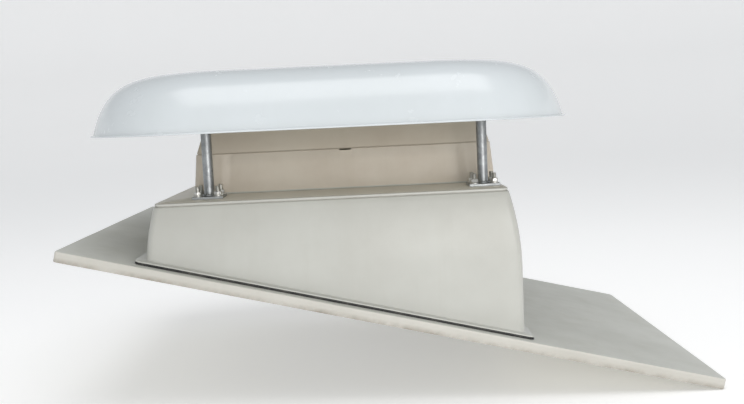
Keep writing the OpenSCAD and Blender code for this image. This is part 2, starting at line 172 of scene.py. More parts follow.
def shade(mesh, angle):
    """Smooth shading, with edges sharper than an angle kept sharp."""
    mesh.polygons.foreach_set("use_smooth", [True] * len(mesh.polygons))
    bm = bmesh.new()
    bm.from_mesh(mesh)
    limit = math.radians(angle)
    for e in bm.edges:
        e.smooth = not (len(e.link_faces) == 2 and e.calc_face_angle(0.0) > limit)
    bm.to_mesh(mesh)
    bm.free()


def loft(rings, closed=True):
    """Vertices and quads through rings of equal length; closed joins the last to the first."""
    n = len(rings[0])
    verts = [p for ring in rings for p in ring]
    faces = []
    for k in range(len(rings) if closed else len(rings) - 1):
        a, b = k * n, ((k + 1) % len(rings)) * n
        for i in range(n):
            j = (i + 1) % n
            faces.append((a + i, b + i, b + j, a + j))
    return verts, faces


def bezier(p, t):
    """Point on a cubic curve with four control points."""
    u = 1 - t
    return tuple(u ** 3 * a + 3 * t * u * u * b + 3 * t * t * u * c + t ** 3 * d
                 for a, b, c, d in zip(*p))


def bezier_slope(p, t):
    u = 1 - t
    return tuple(3 * u * u * (b - a) + 6 * t * u * (c - b) + 3 * t * t * (d - c)
                 for a, b, c, d in zip(*p))


# ---- Materials ----

def ramp(nt, source, stops):
    """Colour ramp from (place, grey or colour) stops."""
    node = nt.nodes.new("ShaderNodeValToRGB")
    while len(node.color_ramp.elements) < len(stops):
        node.color_ramp.elements.new(0.5)
    for e, (place, value) in zip(node.color_ramp.elements, stops):
        e.position = place
        e.color = (*value, 1) if isinstance(value, tuple) else (value, value, value, 1)
    nt.links.new(source, node.inputs["Fac"])
    return node.outputs["Color"]


def texture(nt, kind, coords, scale, stretch=(1, 1, 1), turn=(0, 0, 0), **settings):
    """Texture node on stretched and turned coordinates, with its sockets set by name."""
    place = nt.nodes.new("ShaderNodeMapping")
    place.inputs["Scale"].default_value = stretch
    place.inputs["Rotation"].default_value = turn
    nt.links.new(coords, place.inputs["Vector"])
    node = nt.nodes.new(kind)
    nt.links.new(place.outputs["Vector"], node.inputs["Vector"])
    node.inputs["Scale"].default_value = scale
    for key, value in settings.items():
        node.inputs[key].default_value = value
    return node


def mix(nt, fac, a, b):
    """Blend of two colours; each argument is a socket or a value."""
    node = nt.nodes.new("ShaderNodeMix")
    node.data_type = "RGBA"
    for socket, value in ((node.inputs[0], fac), (node.inputs[6], a), (node.inputs[7], b)):
        if isinstance(value, bpy.types.NodeSocket):
            nt.links.new(value, socket)
        elif isinstance(value, tuple):
            socket.default_value = (*value, 1)
        else:
            socket.default_value = value
    return node.outputs[2]


def math_node(nt, operation, a, b=0.0, clamp=False):
    node = nt.nodes.new("ShaderNodeMath")
    node.operation = operation
    node.use_clamp = clamp
    for socket, value in zip(node.inputs, (a, b)):
        if isinstance(value, bpy.types.NodeSocket):
            nt.links.new(value, socket)
        else:
            socket.default_value = value
    return node.outputs[0]


def bump(nt, height, distance, below=None):
    """Bump of a height in metres, over another bump if one is given."""
    node = nt.nodes.new("ShaderNodeBump")
    node.inputs["Strength"].default_value = 1.0
    node.inputs["Distance"].default_value = distance
    nt.links.new(height, node.inputs["Height"])
    if below is not None:
        nt.links.new(below, node.inputs["Normal"])
    return node.outputs["Normal"]


def start_material(name):
    m = bpy.data.materials.new(name)
    m.use_nodes = True
    nt = m.node_tree
    shader = next(n for n in nt.nodes if n.type == "BSDF_PRINCIPLED")
    coords = nt.nodes.new("ShaderNodeTexCoord").outputs["Object"]
    return m, nt, shader, coords


def worn_edges(nt):
    geometry = nt.nodes.new("ShaderNodeNewGeometry")
    return ramp(nt, geometry.outputs["Pointiness"], [(0.52, 0.0), (0.6, 1.0)])


def roof_grime(nt, co, base, full, clear):
    """Dirt that thickens from one distance over the roof plane down to another."""
    dot = nt.nodes.new("ShaderNodeVectorMath")
    dot.operation = "DOT_PRODUCT"
    dot.inputs[1].default_value = (math.sin(PITCH), 0.0, math.cos(PITCH))
    nt.links.new(co, dot.inputs[0])
    span = nt.nodes.new("ShaderNodeMapRange")
    span.inputs["From Min"].default_value = clear
    span.inputs["From Max"].default_value = full
    nt.links.new(dot.outputs["Value"], span.inputs["Value"])
    patch = texture(nt, "ShaderNodeTexNoise", co, 11.0, Detail=7.0, Roughness=0.7)
    level = math_node(nt, "MULTIPLY", span.outputs["Result"],
                      ramp(nt, patch.outputs["Fac"], [(0.40, 0.15), (0.66, 1.0)]))
    return mix(nt, math_node(nt, "MULTIPLY", level, 0.9), base, (0.19, 0.155, 0.11))


def gelcoat(name, colour, shade_colour, rough, coat, grain=0.00012, streaks=0.35, dirt=0.5,
            speck=0.5, grime=None, wave=0.0006, gloss_range=0.18, rubbed=0.35):
    """Moulded gelcoat: clouded colour, vertical rain streaks, dust in the corners, orange peel."""
    m, nt, shader, co = start_material(name)
    cloud = texture(nt, "ShaderNodeTexNoise", co, 3.1, Detail=5.0, Roughness=0.62)
    base = mix(nt, ramp(nt, cloud.outputs["Fac"], [(0.36, 0.0), (0.68, 1.0)]), colour,
               shade_colour)
    streak = texture(nt, "ShaderNodeTexNoise", co, 9.0, stretch=(1.0, 1.0, 0.07), Detail=6.0,
                     Roughness=0.7)
    weather = tuple(c * k for c, k in zip(colour, (0.80, 0.79, 0.74)))
    amount = math_node(nt, "MULTIPLY",
                       ramp(nt, streak.outputs["Fac"], [(0.50, 0.0), (0.78, 1.0)]), streaks)
    base = mix(nt, amount, base, weather)
    fine = texture(nt, "ShaderNodeTexNoise", co, 210.0, Detail=2.0, Roughness=0.5)
    spots = texture(nt, "ShaderNodeTexVoronoi", co, 85.0, Randomness=1.0)
    dots = math_node(nt, "MULTIPLY",
                     ramp(nt, spots.outputs["Distance"], [(0.0, 1.0), (0.10, 0.0)]),
                     ramp(nt, cloud.outputs["Fac"], [(0.50, 0.0), (0.66, 1.0)]))
    dots = math_node(nt, "MULTIPLY", dots, speck)
    base = mix(nt, dots, base, tuple(c * 0.62 for c in colour))
    geometry = nt.nodes.new("ShaderNodeNewGeometry")
    hollow = ramp(nt, geometry.outputs["Pointiness"], [(0.40, 1.0), (0.495, 0.0)])
    dust = math_node(nt, "MULTIPLY", hollow, dirt)
    base = mix(nt, dust, base, (0.24, 0.22, 0.18))
    rub = ramp(nt, geometry.outputs["Pointiness"], [(0.51, 0.0), (0.58, 1.0)])
    base = mix(nt, math_node(nt, "MULTIPLY", rub, rubbed), base,
               tuple(min(1.0, c * 1.10 + 0.02) for c in colour))
    if grime:
        base = roof_grime(nt, co, base, *grime)
    nt.links.new(base, shader.inputs["Base Color"])
    gloss = texture(nt, "ShaderNodeTexNoise", co, 14.0, Detail=7.0, Roughness=0.66)
    r = math_node(nt, "ADD",
                  math_node(nt, "MULTIPLY",
                            ramp(nt, gloss.outputs["Fac"], [(0.30, 0.0), (0.75, 1.0)]),
                            gloss_range),
                  rough)
    r = math_node(nt, "ADD", r, math_node(nt, "MULTIPLY", amount, 0.25), clamp=True)
    nt.links.new(r, shader.inputs["Roughness"])
    shader.inputs["Coat Weight"].default_value = coat
    shader.inputs["Coat Roughness"].default_value = 0.16
    shader.inputs["IOR"].default_value = 1.5
    peel = bump(nt, fine.outputs["Fac"], grain)
    swell = texture(nt, "ShaderNodeTexNoise", co, 6.0, Detail=2.0, Roughness=0.5)
    nt.links.new(bump(nt, swell.outputs["Fac"], wave, below=peel), shader.inputs["Normal"])
    return m


def laminate(name, colour):
    """Rolled glass-fibre laminate: crossed strands under a resin skin."""
    m, nt, shader, co = start_material(name)
    sets = []
    for angle in (0.3, 1.4, 2.5):
        strand = texture(nt, "ShaderNodeTexNoise", co, 60.0, stretch=(1.0, 0.06, 1.0),
                         turn=(0.2, angle, angle), Detail=3.0, Roughness=0.6, Distortion=0.6)
        sets.append(ramp(nt, strand.outputs["Fac"], [(0.46, 0.0), (0.60, 1.0)]))
    weave = math_node(nt, "MAXIMUM", sets[0], math_node(nt, "MAXIMUM", sets[1], sets[2]))
    cloud = texture(nt, "ShaderNodeTexNoise", co, 7.0, Detail=5.0, Roughness=0.6)
    base = mix(nt, weave, tuple(c * 0.74 for c in colour), colour)
    base = mix(nt, ramp(nt, cloud.outputs["Fac"], [(0.35, 0.0), (0.75, 1.0)]), base,
               tuple(c * k for c, k in zip(colour, (0.78, 0.74, 0.60))))
    nt.links.new(base, shader.inputs["Base Color"])
    nt.links.new(ramp(nt, weave, [(0.0, 0.42), (1.0, 0.66)]), shader.inputs["Roughness"])
    nt.links.new(bump(nt, weave, 0.0005), shader.inputs["Normal"])
    return m


def metal(name, colour, rough, spangle=0.0, brushed=None, rust=0.0):
    """Bare or zinc-coated metal with spangle, brushing, stains and brighter rubbed edges."""
    m, nt, shader, co = start_material(name)
    cloud = texture(nt, "ShaderNodeTexNoise", co, 22.0, Detail=6.0, Roughness=0.65)
    base = mix(nt, ramp(nt, cloud.outputs["Fac"], [(0.32, 0.0), (0.72, 1.0)]), colour,
               tuple(c * 0.72 for c in colour))
    height = cloud.outputs["Fac"]
    if spangle:
        flake = texture(nt, "ShaderNodeTexVoronoi", co, 90.0, Randomness=1.0)
        tone = nt.nodes.new("ShaderNodeSeparateColor")
        nt.links.new(flake.outputs["Color"], tone.inputs[0])
        base = mix(nt, math_node(nt, "MULTIPLY", tone.outputs[0], spangle), base,
                   tuple(c * 0.55 for c in colour))
        height = math_node(nt, "ADD", height, math_node(nt, "MULTIPLY", tone.outputs[1], 0.3))
    if brushed:
        lines = texture(nt, "ShaderNodeTexNoise", co, 240.0, stretch=brushed, Detail=2.0)
        height = math_node(nt, "ADD", height, lines.outputs["Fac"])
    if rust:
        stain = texture(nt, "ShaderNodeTexNoise", co, 38.0, Detail=8.0, Roughness=0.75)
        base = mix(nt, math_node(nt, "MULTIPLY",
                                 ramp(nt, stain.outputs["Fac"], [(0.60, 0.0), (0.74, 1.0)]), rust),
                   base, (0.26, 0.15, 0.08))
    base = mix(nt, math_node(nt, "MULTIPLY", worn_edges(nt), 0.6), base,
               tuple(min(1.0, c * 1.3) for c in colour))
    nt.links.new(base, shader.inputs["Base Color"])
    shader.inputs["Metallic"].default_value = 1.0
    nt.links.new(ramp(nt, cloud.outputs["Fac"], [(0.3, rough), (0.75, min(1.0, rough + 0.22))]),
                 shader.inputs["Roughness"])
    nt.links.new(bump(nt, height, 0.00018), shader.inputs["Normal"])
    return m


def soft_seal(name, colour, rough, dusty):
    """Rubber or sealant with dust caught on it."""
    m, nt, shader, co = start_material(name)
    cloud = texture(nt, "ShaderNodeTexNoise", co, 30.0, Detail=6.0, Roughness=0.7)
    fine = texture(nt, "ShaderNodeTexNoise", co, 420.0, Detail=3.0)
    base = mix(nt, math_node(nt, "MULTIPLY",
                             ramp(nt, cloud.outputs["Fac"], [(0.45, 0.0), (0.80, 1.0)]), dusty),
               colour, (0.34, 0.32, 0.28))
    nt.links.new(base, shader.inputs["Base Color"])
    nt.links.new(ramp(nt, cloud.outputs["Fac"], [(0.3, rough), (0.8, min(1.0, rough + 0.2))]),
                 shader.inputs["Roughness"])
    nt.links.new(bump(nt, fine.outputs["Fac"], 0.0002), shader.inputs["Normal"])
    return m


WHITE = gelcoat("white_gelcoat", (0.625, 0.665, 0.69), (0.600, 0.640, 0.660), 0.22, 0.35,
                grain=0.00001, wave=0.00022, streaks=0.10, speck=0.0, gloss_range=0.07,
                rubbed=0.0, dirt=0.15)
# Much paler gelcoat for the deck's top face and spigot than the grey of its own edge: the extra
# brightness is painted light, standing in for light where the cap shades the deck
PAINTED_LIGHT_DECK = gelcoat("deck_painted_light_gelcoat", (0.90, 0.88, 0.82), (0.84, 0.81, 0.74), 0.36, 0.2,
               grain=0.00006, streaks=0.1, speck=0.25)
GREY = gelcoat("grey_gelcoat", (0.535, 0.54, 0.505), (0.485, 0.485, 0.45), 0.34, 0.2,
               grain=0.00008, streaks=0.25, speck=0.25)
THROAT = gelcoat("throat_gelcoat", (0.60, 0.55, 0.475), (0.52, 0.455, 0.38), 0.38, 0.12,
                 grain=0.00008, streaks=0.3, speck=0.25)
SHEET = gelcoat("sheet_gelcoat", (0.60, 0.605, 0.565), (0.52, 0.525, 0.485), 0.46, 0.0,
                grain=0.00020, dirt=0.3)
SHEET_EDGE = gelcoat("sheet_edge_gelcoat", (0.57, 0.555, 0.51), (0.50, 0.485, 0.44), 0.36, 0.1,
                     grime=(-0.024, -0.008))
LAMINATE = laminate("raw_laminate", (0.56, 0.55, 0.47))
GALVANISED = metal("galvanised_steel", (0.40, 0.42, 0.435), 0.34, spangle=0.6, rust=0.10)
ZINC = metal("zinc_plate", (0.66, 0.66, 0.64), 0.26, rust=0.22)
ALUMINIUM = metal("mill_aluminium", (0.74, 0.75, 0.76), 0.30, brushed=(0.02, 1.0, 1.0))
RUBBER = soft_seal("black_sealant", (0.016, 0.016, 0.017), 0.42, 0.35)
GREY_SEAL = soft_seal("grey_sealant", (0.52, 0.51, 0.47), 0.45, 0.35)
NYLON = soft_seal("nylon", (0.72, 0.70, 0.64), 0.38, 0.25)


# ---- Mouldings ----

def build_cap():
    """Square domed cap: glossy outer face, rolled rim and rough inner face."""
    half = CAP_HI.x
    rim_z, height = CAP_LO.z, CAP_HI.z - CAP_LO.z
    steps, parts = 14, 12
    # Half section as (inset from the rim, height), with its normal
    shoulder = (0.238, height - 0.011)
    side = [(0.007, 0.005), (0.037, 0.83 * shoulder[1]), (0.099, shoulder[1] - 0.0015), shoulder]
    crown = [shoulder, (0.318, shoulder[1] + 0.001), (0.393, height), (0.473, height)]
    section = []
    for curve, count in ((side, 26), (crown, 12)):
        for i in range(1 if section else 0, count + 1):
            p, s = bezier(curve, i / count), bezier_slope(curve, i / count)
            length = math.hypot(*s)
            section.append((p, (s[1] / length, -s[0] / length)))
    section.append(((0.545, height), (0.0, -1.0)))
    outer = [p for p, _ in section]
    inner = [(p[0] + WALL * n[0], p[1] + WALL * n[1]) for p, n in section]
    rim = [(0.0060, 0.0046), (0.0036, 0.0044), (0.0014, 0.0036), (0.0002, 0.0022),
           (0.0004, 0.0009), (0.0016, 0.0001), (0.005, 0.0), (0.0128, 0.0002)]

    def level(p):
        r = max(CAP_R_MIN, CAP_R - 0.6 * p[0])
        h = half - p[0]
        ring = split_sides(outline((h, h), min(r, h - 0.002), steps), steps, parts)
        return [(x, y, rim_z + p[1]) for x, y in ring]

    levels = [level(p) for p in reversed(outer)] + [level(p) for p in rim]
    levels += [level(p) for p in inner]
    verts, faces = loft(levels, closed=False)
    n = len(levels[0])
    count_outer = (len(outer) - 1 + len(rim)) * n
    picks = [0 if i < count_outer else 1 for i in range(len(faces))]
    last = (len(levels) - 1) * n
    faces.append(tuple(range(n)))
    faces.append(tuple(last + i for i in range(n)))
    picks += [0, 1]
    return new_object("cap_moulding", verts, faces, [WHITE, LAMINATE], picks,
                      slot="white_gelcoat", replaces=["cap_shell"], smooth=40)


def flare_at(z):
    drop = min(1.0, max(0.0, (DECK_Z - z) / FLARE_H))
    return FLARE * (1 - (1 - drop) ** 2)


def roof_height(x, normal_distance):
    return normal_distance / math.cos(PITCH) - x * math.tan(PITCH)


def build_upstand():
    """Flared skirt with a filleted flange that follows the roof, and a land under the deck."""
    steps, parts, rows, inner_rows = 10, 16, 22, 8
    seal_t = 0.002
    top = DECK_LO.z - seal_t
    edge = 0.003
    flange_z = FLANGE_N + FLANGE_T
    fillet = 0.004

    def ring(half, r):
        return split_sides(outline((half, half), r, steps), steps, parts)

    count = len(ring(DECK_HALF, CORNER_R))

    def wall_point(i, z, out=0.0):
        half = DECK_HALF + flare_at(z) + out
        return ring(half, max(0.004, CORNER_R + out))[i]

    def foot(i, normal_distance, lift, out=0.0):
        z = 0.0
        for _ in range(8):
            z = roof_height(wall_point(i, z, out)[0], normal_distance) + lift
        return z

    columns = []
    for i in range(count):
        column = []
        for b in (0.0, 30.0, 60.0, 90.0):
            a = math.radians(b)
            z = top - edge * (1 - math.cos(a))
            column.append((*wall_point(i, z, -edge * (1 - math.sin(a))), z))
        low = foot(i, flange_z, fillet)
        for k in range(1, rows + 1):
            z = top - edge + (low - top + edge) * k / rows
            column.append((*wall_point(i, z), z))
        base_half = DECK_HALF + flare_at(low)
        for b in (22.5, 45.0, 67.5, 90.0):
            a = math.radians(b)
            out = fillet * (1 - math.cos(a))
            x, y = ring(base_half + out, CORNER_R + out)[i]
            column.append((x, y, roof_height(x, flange_z) + fillet * (1 - math.sin(a))))
        for out, drop in ((-0.0012, 0.0), (-0.0003, 0.0003), (0.0, 0.0011), (0.0, FLANGE_T)):
            x, y = ring(FOOT_HALF + FLANGE_W + out, FLANGE_R + out)[i]
            column.append((x, y, roof_height(x, flange_z - drop)))
        low_in = foot(i, FLANGE_N, 0.0, -WALL)
        x, y = wall_point(i, low_in, -WALL)
        column.append((x, y, low_in))
        inner_top = top - WALL
        for k in range(1, inner_rows + 1):
            z = low_in + (inner_top - low_in) * k / inner_rows
            column.append((*wall_point(i, z, -WALL), z))
        columns.append(column)
    past_plate = 0.012
    land = (DECK_HALF - LAND_W, PLATE_OUT - 2 * PLATE_HALF - past_plate)
    land_ring = split_sides(outline(land, CORNER_R - WALL, steps), steps, parts)
    for i in range(count):
        columns[i].append((*land_ring[i], top - WALL))
        columns[i].append((*land_ring[i], top))
    rings = [[columns[i][k] for i in range(count)] for k in range(len(columns[0]))]
    verts, faces = loft(rings)
    inside = range(4 + rows + 4 + 4, len(rings) - 1)
    picks = [1 if k in inside else 0 for k in range(len(rings)) for _ in range(count)]
    return new_object("upstand_moulding", verts, faces, [GREY, LAMINATE], picks,
                      slot="grey_gelcoat", replaces=["upstand_shell"], smooth=40)


def build_deck():
    """Deck with a rounded edge, and the spigot that the collar is bonded over."""
    steps, parts = 10, 10
    low, top = DECK_LO.z, DECK_Z
    gap_x, gap_y = 0.024, 0.0035    # between the spigot and the collar
    spigot = (THROAT_HI.x - THROAT_C.x - THROAT_WALL - gap_x,
              THROAT_HI.y - THROAT_WALL - gap_y)
    centre = (THROAT_C.x, THROAT_C.y)
    half = (DECK_HALF, DECK_HALF)

    def ring(h, r, z, c=(0.0, 0.0)):
        return [(x, y, z) for x, y in split_sides(outline(h, r, steps, c), steps, parts)]

    def shrink(h, d):
        return (h[0] - d, h[1] - d)

    thin, edge, burr = 0.004, 0.0025, 0.0006
    rings = [ring(shrink(half, burr), CORNER_R, low), ring(half, CORNER_R, low + burr)]
    for b in (0.0, 30.0, 60.0, 90.0):
        a = math.radians(b)
        d = edge * (1 - math.cos(a))
        rings.append(ring(shrink(half, d), CORNER_R - d, top - edge * (1 - math.sin(a))))
    rings += [ring(spigot, SPIGOT_R, top, centre),
              ring(spigot, SPIGOT_R, top + SPIGOT_H, centre),
              ring(shrink(spigot, thin), SPIGOT_R - thin, top + SPIGOT_H, centre),
              ring(shrink(spigot, thin), SPIGOT_R - thin, low, centre)]
    verts, faces = loft(rings)
    n = len(rings[0])
    # The deck's top and the spigot's outside and top take the paler deck gelcoat, painted light
    # where the cap shades them; the rounded edge and the inside keep the grey gelcoat
    kinds = [0, 0, 0, 0, 0, 1, 1, 1, 0, 2]
    picks = [kinds[k] for k in range(len(rings)) for _ in range(n)]
    return new_object("deck_moulding", verts, faces, [GREY, PAINTED_LIGHT_DECK, LAMINATE], picks,
                      slot="grey_gelcoat", replaces=["deck_tray"], smooth=40)


def build_joint_bead():
    """Filler run into the joint between the deck and the upstand."""
    steps, parts = 10, 60
    lo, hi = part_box("deck_seal")
    rings = []
    for inset, z in ((0.0016, lo.z), (0.0006, lo.z + TOUCH), (0.0001, (lo.z + hi.z) / 2),
                     (0.0006, hi.z - TOUCH), (0.0016, hi.z)):
        made = []
        for x, y in split_sides(outline((DECK_HALF, DECK_HALF), CORNER_R, steps), steps, parts):
            sag = 0.0003 * (1 + noise.noise(Vector((x, y, 1.0)) * 18.0))
            k = 1 - (inset + sag) / max(abs(x), abs(y))
            made.append((x * k, y * k, z))
        rings.append(made)
    inner = (DECK_HALF - LAND_W, PLATE_OUT - 0.012)
    for z in (hi.z, lo.z):
        rings.append([(x, y, z) for x, y in
                      split_sides(outline(inner, CORNER_R - WALL, steps), steps, parts)])
    verts, faces = loft(rings)
    return new_object("deck_joint_bead", verts, faces, [GREY_SEAL], slot="sealant",
                      replaces=["deck_seal"], smooth=60)


def build_throat():
    """Collar that draws in at a crease, with softened edges and a drain slot each side."""
    steps, parts = 8, 64
    z0, z1 = THROAT_LO.z, THROAT_HI.z
    foot = (THROAT_HI.x - THROAT_C.x, THROAT_HI.y)
    crease = (foot[0] - LEAN_LOW, foot[1] - LEAN_LOW)
    head = (crease[0] - LEAN_TOP, crease[1] - LEAN_TOP)
    crease_z = z0 + CREASE_H
    centre = (THROAT_C.x, THROAT_C.y)

    def between(a, b, t):
        return tuple(p + (q - p) * t for p, q in zip(a, b))

    def ring(h, r, z, panel=0.0):
        made = []
        for x, y in split_sides(outline(h, r, steps, centre), steps, parts):
            if panel and abs(x - centre[0]) < PANEL_HALF:
                y -= math.copysign(panel, y)
            made.append((x, y, z))
        return made

    low, mid, high = (*foot, THROAT_R, z0), (*crease, THROAT_R, crease_z), (*head, THROAT_R, z1)
    path = [between(low, mid, t / 6) for t in range(6)]
    path += [between(low, mid, 0.992), mid]

    def set_back(t, depth=CREASE_STEP):
        x, y, r, z = between(mid, high, t)
        return (x - depth, y - depth, r - depth, z)

    path += [set_back(0.006, GROOVE), set_back(0.030, GROOVE), set_back(0.034)]    # groove
    path += [set_back(t) for t in (0.2, 0.4, 0.6, 0.8, 0.98)]
    panel_first, panel_last = 1, 6
    rings = [ring(p[:2], p[2], p[3], PANEL_DEPTH if panel_first <= k <= panel_last else 0.0)
             for k, p in enumerate(path)]
    edge = 0.003
    rings += [ring((head[0] - CREASE_STEP - edge * k, head[1] - CREASE_STEP - edge * k), THROAT_R,
                   z1 - edge * drop) for k, drop in ((0.3, 0.3), (1.0, 0.0))]
    mouth = (head[0] - THROAT_LAND, head[1] - THROAT_LAND)
    w = THROAT_WALL
    rings += [ring(mouth, OPENING_R, z1), ring(mouth, OPENING_R, z1 - w),
              ring((head[0] - w, head[1] - w), THROAT_R - w, z1 - w),
              ring((crease[0] - w, crease[1] - w), THROAT_R - w, crease_z),
              ring((foot[0] - w, foot[1] - w), THROAT_R - w, z0)]
    verts, faces = loft(rings)
    n = len(rings[0])
    inside = 4
    picks = [1 if k >= len(rings) - inside else 0 for k in range(len(rings)) for _ in range(n)]
    obj = new_object("throat_moulding", verts, faces, [THROAT, LAMINATE], picks,
                     slot="grey_gelcoat", replaces=["throat_collar"], smooth=30)
    posts = (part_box("stanchion_front_left")[0].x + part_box("stanchion_front_right")[1].x) / 2
    slot_w, slot_h = 0.032, 0.004
    cut_slot(obj, slot_w, slot_h, posts, crease_z - slot_h / 2)
    return obj


def cut_slot(obj, width, height, x0, z0):
    """Cuts a rounded slot right through an object, across the slope."""
    reach = 1.0     # from the middle, past both sides
    bm = bmesh.new()
    profile = outline((width / 2, height / 2), height / 2 - TOUCH, 5)
    ends = [[bm.verts.new((x0 + x, side * reach, z0 + z)) for x, z in profile]
            for side in (-1, 1)]
    n = len(profile)
    for i in range(n):
        bm.faces.new((ends[0][i], ends[0][(i + 1) % n], ends[1][(i + 1) % n], ends[1][i]))
    bm.faces.new(ends[0])
    bm.faces.new(list(reversed(ends[1])))
    bmesh.ops.recalc_face_normals(bm, faces=bm.faces)
    mesh = bpy.data.meshes.new("slot_tool")
    bm.to_mesh(mesh)
    bm.free()
    tool = bpy.data.objects.new("slot_tool", mesh)
    bpy.context.scene.collection.objects.link(tool)
    cut = obj.modifiers.new("slot", "BOOLEAN")
    cut.operation, cut.solver, cut.object = "DIFFERENCE", "EXACT", tool
    bpy.context.view_layer.update()
    graph = bpy.context.evaluated_depsgraph_get()
    made = bpy.data.meshes.new_from_object(obj.evaluated_get(graph))
    obj.modifiers.clear()
    obj.data = made
    bpy.data.objects.remove(tool)
    shade(made, 30)


def build_sheet():
    """Flashing sheet with rounded edges, a turned-down lip and a slight hand-laid ripple."""
    steps, parts, spans = 5, 26, 9
    slope = Matrix.Rotation(PITCH, 4, "Y")
    c = math.cos(PITCH)
    up = (-SHEET_LO.x - LIP_H * math.sin(PITCH)) / c
    down = (SHEET_HI.x - SHEET_T * math.sin(PITCH)) / c
    mid = (down - up) / 2
    half = ((down + up) / 2, SHEET_HI.y)
    ripple_place = Vector((3.0, 7.0, 1.0))
    ripple_scale, ripple_depth = 5.0, 0.0008

    def ring(inset, r, z, ripple=0.0):
        pts = outline((half[0] - inset, half[1] - inset), r, steps, (mid, 0.0))
        made = []
        for x, y in split_sides(pts, steps, parts):
            sway = noise.noise(Vector((x, y, 0.0)) * ripple_scale + ripple_place)
            made.append(slope @ Vector((x, y, z - ripple * abs(sway))))
        return made

    hole = split_sides(outline((DUCT_HALF, DUCT_HALF), CORNER_R, steps), steps, parts)

    def hole_ring(z):
        return [slope @ Vector((x / c, y, z)) for x, y in hole]

    t, lip, e, burr = SHEET_T, LIP_H, 0.0022, 0.0006
    corner, inner_corner = 0.009, 0.009 - SHEET_T
    edge_ring = ring(e, corner, t, ripple_depth)
    top = hole_ring(t)
    rings = [top]
    rings += [[a.lerp(b, k / spans) for a, b in zip(top, edge_ring)] for k in range(1, spans)]
    rings += [edge_ring, ring(e * 0.29, corner, t - e * 0.29, ripple_depth),
              ring(0.0, corner, t - e, ripple_depth)]
    rings += [ring(0.0, corner, t - e - (lip + t - 2 * e) * k / 5) for k in range(1, 6)]
    rings += [ring(burr, corner, -lip + 0.0004), ring(0.0016, corner, -lip),
              ring(t - burr, inner_corner, -lip), ring(t, inner_corner, -lip + burr),
              ring(t, inner_corner, 0.0), hole_ring(0.0)]
    verts, faces = loft(rings)
    # The top, then the lip's outside and bottom, its inside and underneath, and the hole's edge
    kinds = [0] * (spans + 1) + [1] * 9 + [2] * 3 + [0]
    picks = [kind for kind in kinds for _ in rings[0]]
    return new_object("sheet_moulding", verts, faces, [SHEET, SHEET_EDGE, LAMINATE], picks,
                      slot="sheet_gelcoat", replaces=["flashing_sheet"], smooth=40)


def build_seal_bead():
    """Sealant bedded under the flange and squeezed out unevenly round its edge."""
    steps, parts = 12, 90
    outer, inner = SEAL_HI.y, 0.452
    low, high = SHEET_T + TOUCH, FLANGE_N
    coarse, fine = 34.0, 110.0
    rings = []
    for out, h in ((-0.008, high), (-0.0030, high + TOUCH), (-0.0012, high - 0.0006),
                   (0.0, high - 0.0020), (-0.0002, low + 0.0012), (-0.0009, low)):
        made = []
        for x, y in split_sides(outline((outer, outer), FLANGE_R, steps), steps, parts):
            lump = noise.noise(Vector((x, y, 0.0)) * coarse) * 0.6
            lump += noise.noise(Vector((x, y, 2.0)) * fine) * 0.4
            push = out - 0.0011 + 0.0011 * lump
            k = 1 + push / max(abs(x), abs(y))
            made.append((x * k, y * k, roof_height(x * k, h)))
        rings.append(made)
    inner_points = split_sides(outline((inner, inner), CORNER_R, steps), steps, parts)
    for h in (low, high):
        rings.append([(x, y, roof_height(x, h)) for x, y in inner_points])
    verts, faces = loft(rings)
    return new_object("sealant_bedding", verts, faces, [RUBBER], slot="sealant",
                      replaces=["sealing_strip"], smooth=60)


def build_throat_fillet():
    """Small bead of filler where the collar stands on the deck."""
    steps, parts = 12, 40
    foot = (THROAT_HI.x - THROAT_C.x, THROAT_HI.y)
    centre = (THROAT_C.x, THROAT_C.y)
    rings = []
    for b in range(0, 91, 15):
        a = math.radians(b)
        made = []
        for x, y in split_sides(outline(foot, THROAT_R, steps, centre), steps, parts):
            size = 0.0042 + 0.0009 * noise.noise(Vector((x, y, 0.5)) * 22.0)
            d = size * (1 - math.cos(a))
            out = Vector((x - centre[0], y - centre[1]))
            k = 1 + (d + TOUCH) / max(abs(out.x), abs(out.y))
            made.append((centre[0] + out.x * k, centre[1] + out.y * k,
                         DECK_Z + TOUCH + size * (1 - math.sin(a))))
        rings.append(made)
    sunk = 0.002    # how far the bead runs into the collar's wall
    inner = split_sides(outline((foot[0] - sunk, foot[1] - sunk), THROAT_R - sunk, steps,
                                centre), steps, parts)
    rings += [[(x, y, DECK_Z + h) for x, y in inner] for h in (TOUCH, 0.004)]
    verts, faces = loft(rings)
    return new_object("throat_fillet", verts, faces, [GREY], slot="grey_gelcoat", smooth=60)


# ---- Fasteners and welds ----

def islands(node):
    """Lowest and highest corner of every separate body in a CAD node."""
    mesh = NODES[node].data
    parent = {}

    def find(a):
        while parent[a] != a:
            parent[a] = parent[parent[a]]
            a = parent[a]
        return a

    keys = [tuple(round(c * 2e4) for c in v.co) for v in mesh.vertices]
    for k in keys:
        parent.setdefault(k, k)
    for e in mesh.edges:
        a, b = (find(keys[i]) for i in e.vertices)
        if a != b:
            parent[a] = b
    groups = {}
    for v, k in zip(mesh.vertices, keys):
        groups.setdefault(find(k), []).append(v.co)
    made = []
    for members in groups.values():
        lo = Vector(min(v[i] for v in members) for i in range(3))
        hi = Vector(max(v[i] for v in members) for i in range(3))
        made.append((lo, hi))
    return sorted(made, key=lambda b: (round(b[0].x, 3), round(b[0].y, 3), b[0].z))


def middle(lo, hi):
    return (lo.x + hi.x) / 2, (lo.y + hi.y) / 2


def capped(rings):
    """Loft between two flat ends."""
    n = len(rings[0])
    verts, faces = loft(rings, closed=False)
    faces.append(tuple(range(n)))
    faces.append(tuple(len(verts) - n + i for i in range(n)))
    return verts, faces


